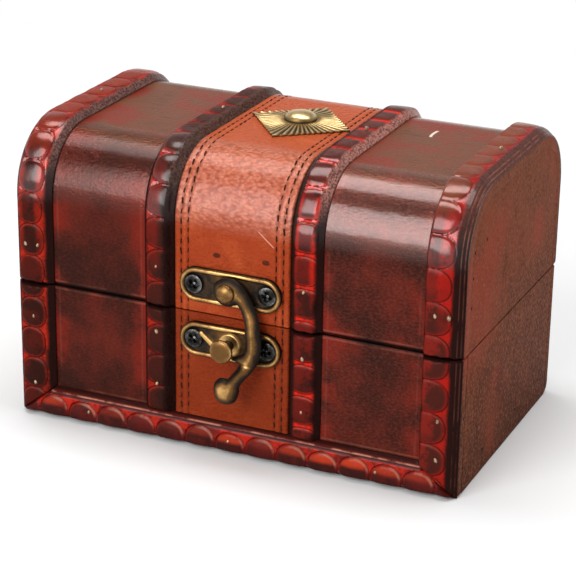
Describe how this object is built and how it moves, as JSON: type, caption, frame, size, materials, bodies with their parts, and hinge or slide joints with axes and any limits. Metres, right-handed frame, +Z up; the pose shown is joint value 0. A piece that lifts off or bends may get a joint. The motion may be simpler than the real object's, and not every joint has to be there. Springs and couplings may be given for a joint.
{
  "type": "treasure chest box",
  "caption": "Small keepsake box shaped as a treasure chest: rounded hinged lid, embossed straps, leather band and a swinging hook latch on a stud.",
  "frame": {"origin": "middle of the underside, on the surface that the box stands on", "axes": "+X to the right end, +Y to the back, +Z up; the latch is on the front, at -Y"},
  "size_m": [0.119, 0.0827, 0.0787],
  "materials": {
    "stained_wood": "dark red-brown stain, satin lacquer",
    "embossed_strap": "glossy embossed scales, red in the grooves",
    "tan_leather": "pebbled cognac leather, stitched edges",
    "antique_brass": "antique brass, dark in the recesses",
    "dark_steel": "dark plated screws",
    "brad_steel": "bright brads",
    "hinge_brass": "brass plated"
  },
  "bodies": {
    "base": {"base_back_panel": "stained_wood", "base_brads": "brad_steel", "base_floor": "stained_wood", "base_front_panel": "stained_wood", "base_hinge_nails": "hinge_brass", "base_inner_left_strap": "embossed_strap", "base_inner_right_strap": "embossed_strap", "base_leather_band": "tan_leather", "base_left_end": "stained_wood", "base_left_hinge_leaf": "hinge_brass", "base_left_strap": "embossed_strap", "base_right_end": "stained_wood", "base_right_hinge_leaf": "hinge_brass", "base_right_strap": "embossed_strap", "bottom_strip": "embossed_strap", "catch_plate": "antique_brass", "catch_screws": "dark_steel", "catch_stud": "antique_brass", "left_hinge_pin": "hinge_brass", "right_hinge_pin": "hinge_brass"},
    "lid": {"hasp_plate": "antique_brass", "hasp_rivet": "antique_brass", "hasp_screws": "dark_steel", "lid_brads": "brad_steel", "lid_hinge_nails": "hinge_brass", "lid_inner_left_strap": "embossed_strap", "lid_inner_right_strap": "embossed_strap", "lid_leather_band": "tan_leather", "lid_left_end": "stained_wood", "lid_left_hinge_leaf": "hinge_brass", "lid_left_strap": "embossed_strap", "lid_right_end": "stained_wood", "lid_right_hinge_leaf": "hinge_brass", "lid_right_strap": "embossed_strap", "lid_skin": "stained_wood", "ornament_plate": "antique_brass", "ornament_tack": "antique_brass"},
    "hook": {"latch_hook": "antique_brass"}
  },
  "joints": [
    {"name": "lid_hinge", "type": "hinge", "parent": "base", "child": "lid", "pos_m": [0, 0.0364, 0.036], "axis": [-1, 0, 0], "range_deg": [0, 110]},
    {"name": "hook_pivot", "type": "hinge", "parent": "lid", "child": "hook", "pos_m": [0, -0.0383, 0.0436], "axis": [0, -1, 0], "range_deg": [-15, 150]}
  ]
}
